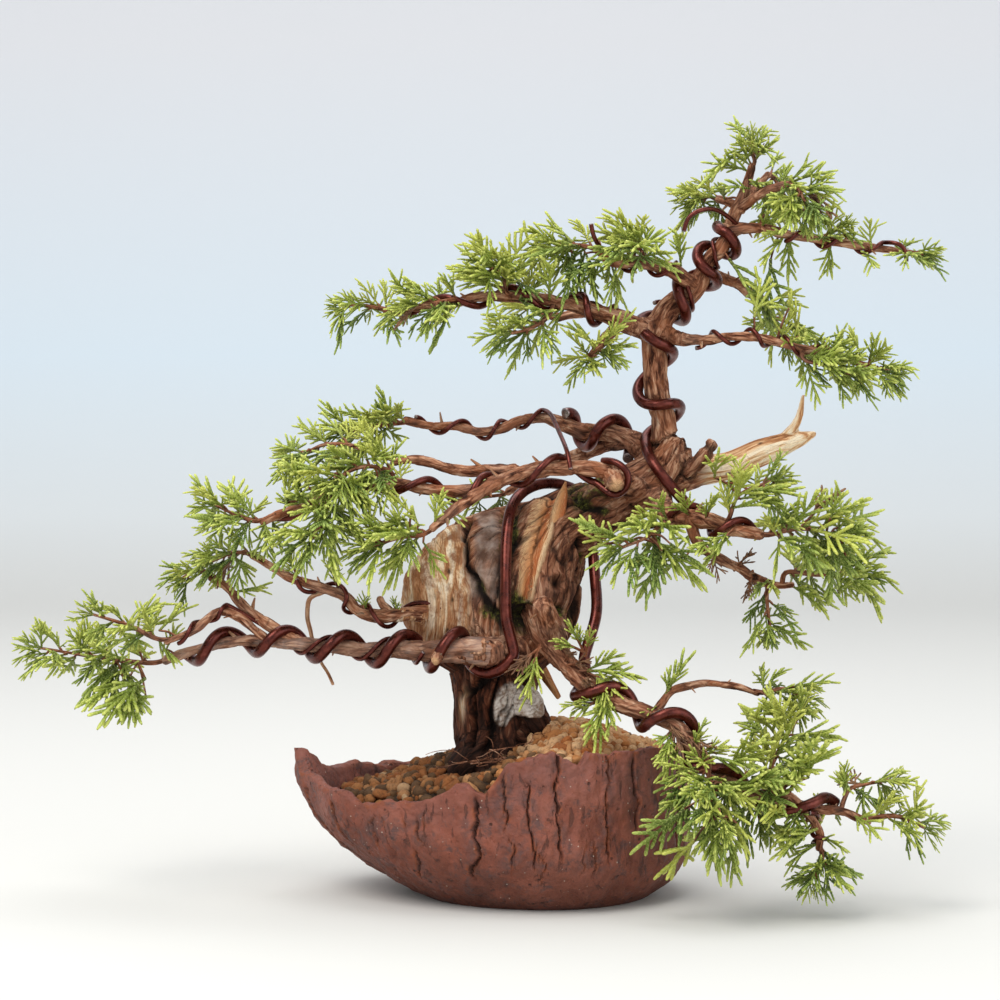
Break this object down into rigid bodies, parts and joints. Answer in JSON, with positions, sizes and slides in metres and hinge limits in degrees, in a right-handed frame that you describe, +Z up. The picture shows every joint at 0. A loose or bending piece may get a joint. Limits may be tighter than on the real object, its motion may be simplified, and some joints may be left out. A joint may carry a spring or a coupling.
{
  "type": "potted bonsai tree",
  "caption": "Wired juniper bonsai with deadwood and scale-leaf foliage pads, planted in gritty soil in a hand-formed crescent bowl with a torn rim",
  "frame": {"origin": "centre of the bowl's flat foot, where it stands", "axes": "+Z up through the tree, +X along the long lower-right branch, -Y towards the tree's front"},
  "size_m": [0.3315, 0.1633, 0.2784],
  "materials": {
    "clay": "matte",
    "soil": "matte",
    "bark": "matte",
    "wire": "satin",
    "leaf": "matte",
    "mesh": "matte"
  },
  "bodies": {
    "root": {"bowl": "clay", "drainMeshLeft": "mesh", "drainMeshRight": "mesh", "soil": "soil", "tree": "bark", "wireLowLeft": "wire", "wireLowLeftThin": "wire", "wireSecondLeft": "wire", "wireMidLeft": "wire", "wireHighLeft": "wire", "wireHighLeftThin": "wire", "wireLowRight": "wire", "wireLowRightTail": "wire", "wireMidRight": "wire", "wireTrunk": "wire", "wireCrown": "wire", "wireTopLeft": "wire", "wireTopLeftUpper": "wire", "wireTopRight": "wire", "wireCrownRight": "wire", "foliageLowLeftTip": "leaf", "foliageLowLeftFront": "leaf", "foliageLowLeftShoot": "leaf", "foliageSecondLeftTip": "leaf", "foliageMidLeftTip": "leaf", "foliageMidLeftFront": "leaf", "foliageMidLeftBack": "leaf", "foliageMidLeftUnder": "leaf", "foliageMidLeftTop": "leaf", "foliageHighLeftTip": "leaf", "foliageHighLeftBack": "leaf", "foliageMidRightFront": "leaf", "foliageMidRightTop": "leaf", "foliageMidRightTip": "leaf", "foliageMidRightBack": "leaf", "foliageMidRightHang": "leaf", "foliageLowRightFront": "leaf", "foliageLowRightInner": "leaf", "foliageLowRightTop": "leaf", "foliageLowRightTail": "leaf", "foliageLowRightTip": "leaf", "foliageLowRightUpper": "leaf", "foliageLowRightShoot": "leaf", "foliageTopLeftTip": "leaf", "foliageTopLeftOuter": "leaf", "foliageTopLeftMiddle": "leaf", "foliageTopLeftUnder": "leaf", "foliageTopLeftBack": "leaf", "foliageTopLeftUpperTip": "leaf", "foliageTopLeftInner": "leaf", "foliageTopLeftLower": "leaf", "foliageTopRightTip": "leaf", "foliageTopRightTop": "leaf", "foliageTopRightBack": "leaf", "foliageCrownRightTip": "leaf", "foliageCrownRightUnder": "leaf", "foliageCrownTop": "leaf", "foliageCrownLeft": "leaf", "foliageCrownRight": "leaf", "foliageCrownBack": "leaf"}
  },
  "joints": []
}
